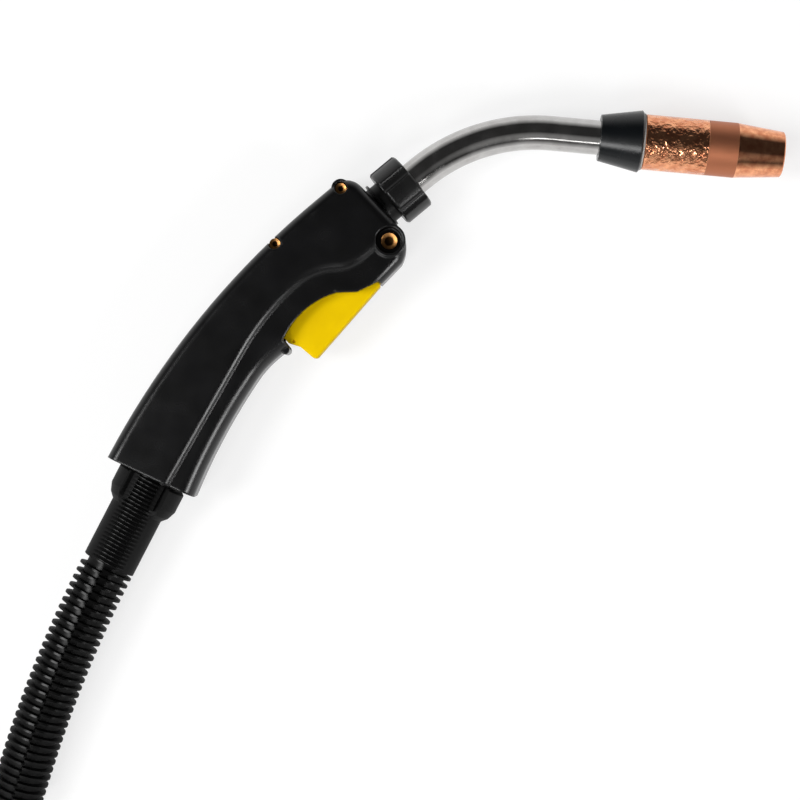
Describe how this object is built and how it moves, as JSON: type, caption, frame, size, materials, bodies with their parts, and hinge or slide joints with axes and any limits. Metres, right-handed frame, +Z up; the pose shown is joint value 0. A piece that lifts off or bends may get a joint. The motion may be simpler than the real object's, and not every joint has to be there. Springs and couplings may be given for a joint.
{
  "type": "mig welding torch",
  "caption": "Air-cooled MIG welding torch with a copper nozzle, angled steel neck, curved black trigger handle, ribbed strain relief and a coiled power cable with its connector.",
  "frame": {"origin": "middle of the torch's outline on the bench, under its box without the cable", "axes": "+Z up from the bench that the torch lies on, +X the way the welding wire leaves the nozzle, +Y to the back of the handle's front end"},
  "size_m": [0.3496, 0.6287, 0.0491],
  "materials": {
    "copper": "polished and fine turned",
    "tip_copper": "satin",
    "brass": "satin",
    "steel_neck": "brushed",
    "steel": "satin",
    "boot_black": "matte",
    "ring_grey": "matte",
    "insulator_cream": "matte",
    "knob_black": "semi gloss",
    "handle_black": "semi matte",
    "trigger_yellow": "satin",
    "switch_plastic": "matte",
    "rubber_black": "matte",
    "cable_black": "matte",
    "connector_black": "matte"
  },
  "bodies": {
    "grip": {"handle_left": "handle_black", "handle_right": "handle_black", "handle_screw_front": "brass", "handle_screw_back": "brass", "nose_screw_brass": "brass", "neck_collar": "knob_black", "collar_washer": "steel", "neck_hub": "brass", "hub_seal": "rubber_black", "cable_fitting": "brass", "crimp_ferrule": "steel", "trigger_pin": "steel", "trigger_spring": "steel", "switch_body": "switch_plastic", "strain_relief": "rubber_black", "cable_inner": "cable_black", "cable_lead": "cable_black", "cable_coil": "cable_black", "connector_relief": "rubber_black", "connector_housing": "connector_black", "connector_face": "insulator_cream", "power_pin": "brass", "control_pin_low": "brass", "control_pin_high": "brass", "nipple_seal": "rubber_black"},
    "neck": {"neck_tube": "steel_neck", "neck_insulation": "insulator_cream", "conductor_tube": "tip_copper", "wire_liner": "steel", "nozzle_boot": "boot_black", "boot_ring": "ring_grey", "nozzle_insulator": "insulator_cream", "gas_diffuser": "brass", "contact_tip": "tip_copper"},
    "nozzle_body": {"nozzle": "copper"},
    "knob": {"lock_knob": "knob_black"},
    "trigger_body": {"trigger": "trigger_yellow"},
    "plunger": {"switch_plunger": "switch_plastic"},
    "nut": {"coupling_nut": "connector_black"}
  },
  "joints": [
    {"name": "neck_turn", "type": "hinge", "parent": "grip", "child": "neck", "pos_m": [-0.01447, 0.11823, 0.018], "axis": [0.7071, 0.7071, 0], "range_deg": [-180, 180]},
    {"name": "nozzle_pull", "type": "slide", "parent": "neck", "child": "nozzle_body", "axis": [1, 0, 0], "range_m": [0, 0.05]},
    {"name": "knob_turn", "type": "hinge", "parent": "grip", "child": "knob", "pos_m": [-0.01447, 0.11823, 0.018], "axis": [0.7071, 0.7071, 0], "range_deg": [0, 180]},
    {"name": "trigger_squeeze", "type": "hinge", "parent": "grip", "child": "trigger_body", "pos_m": [-0.01871, 0.08429, 0.018], "axis": [0, 0, -1], "range_deg": [0, 6], "stiffness_Nm_per_rad": 1.5, "springref_deg": -3.5, "deforming": ["trigger_spring"]},
    {"name": "plunger_press", "type": "slide", "parent": "grip", "child": "plunger", "axis": [-0.7071, 0.7071, 0], "range_m": [0, 0.00117]},
    {"name": "nut_spin", "type": "hinge", "parent": "grip", "child": "nut", "pos_m": [0.07295, -0.43022, 0.0246], "axis": [1, 0, 0], "continuous": true}
  ],
  "couplings": [
    {"joint": "plunger_press", "follows": "trigger_squeeze", "m_per_rad": 0.011}
  ]
}
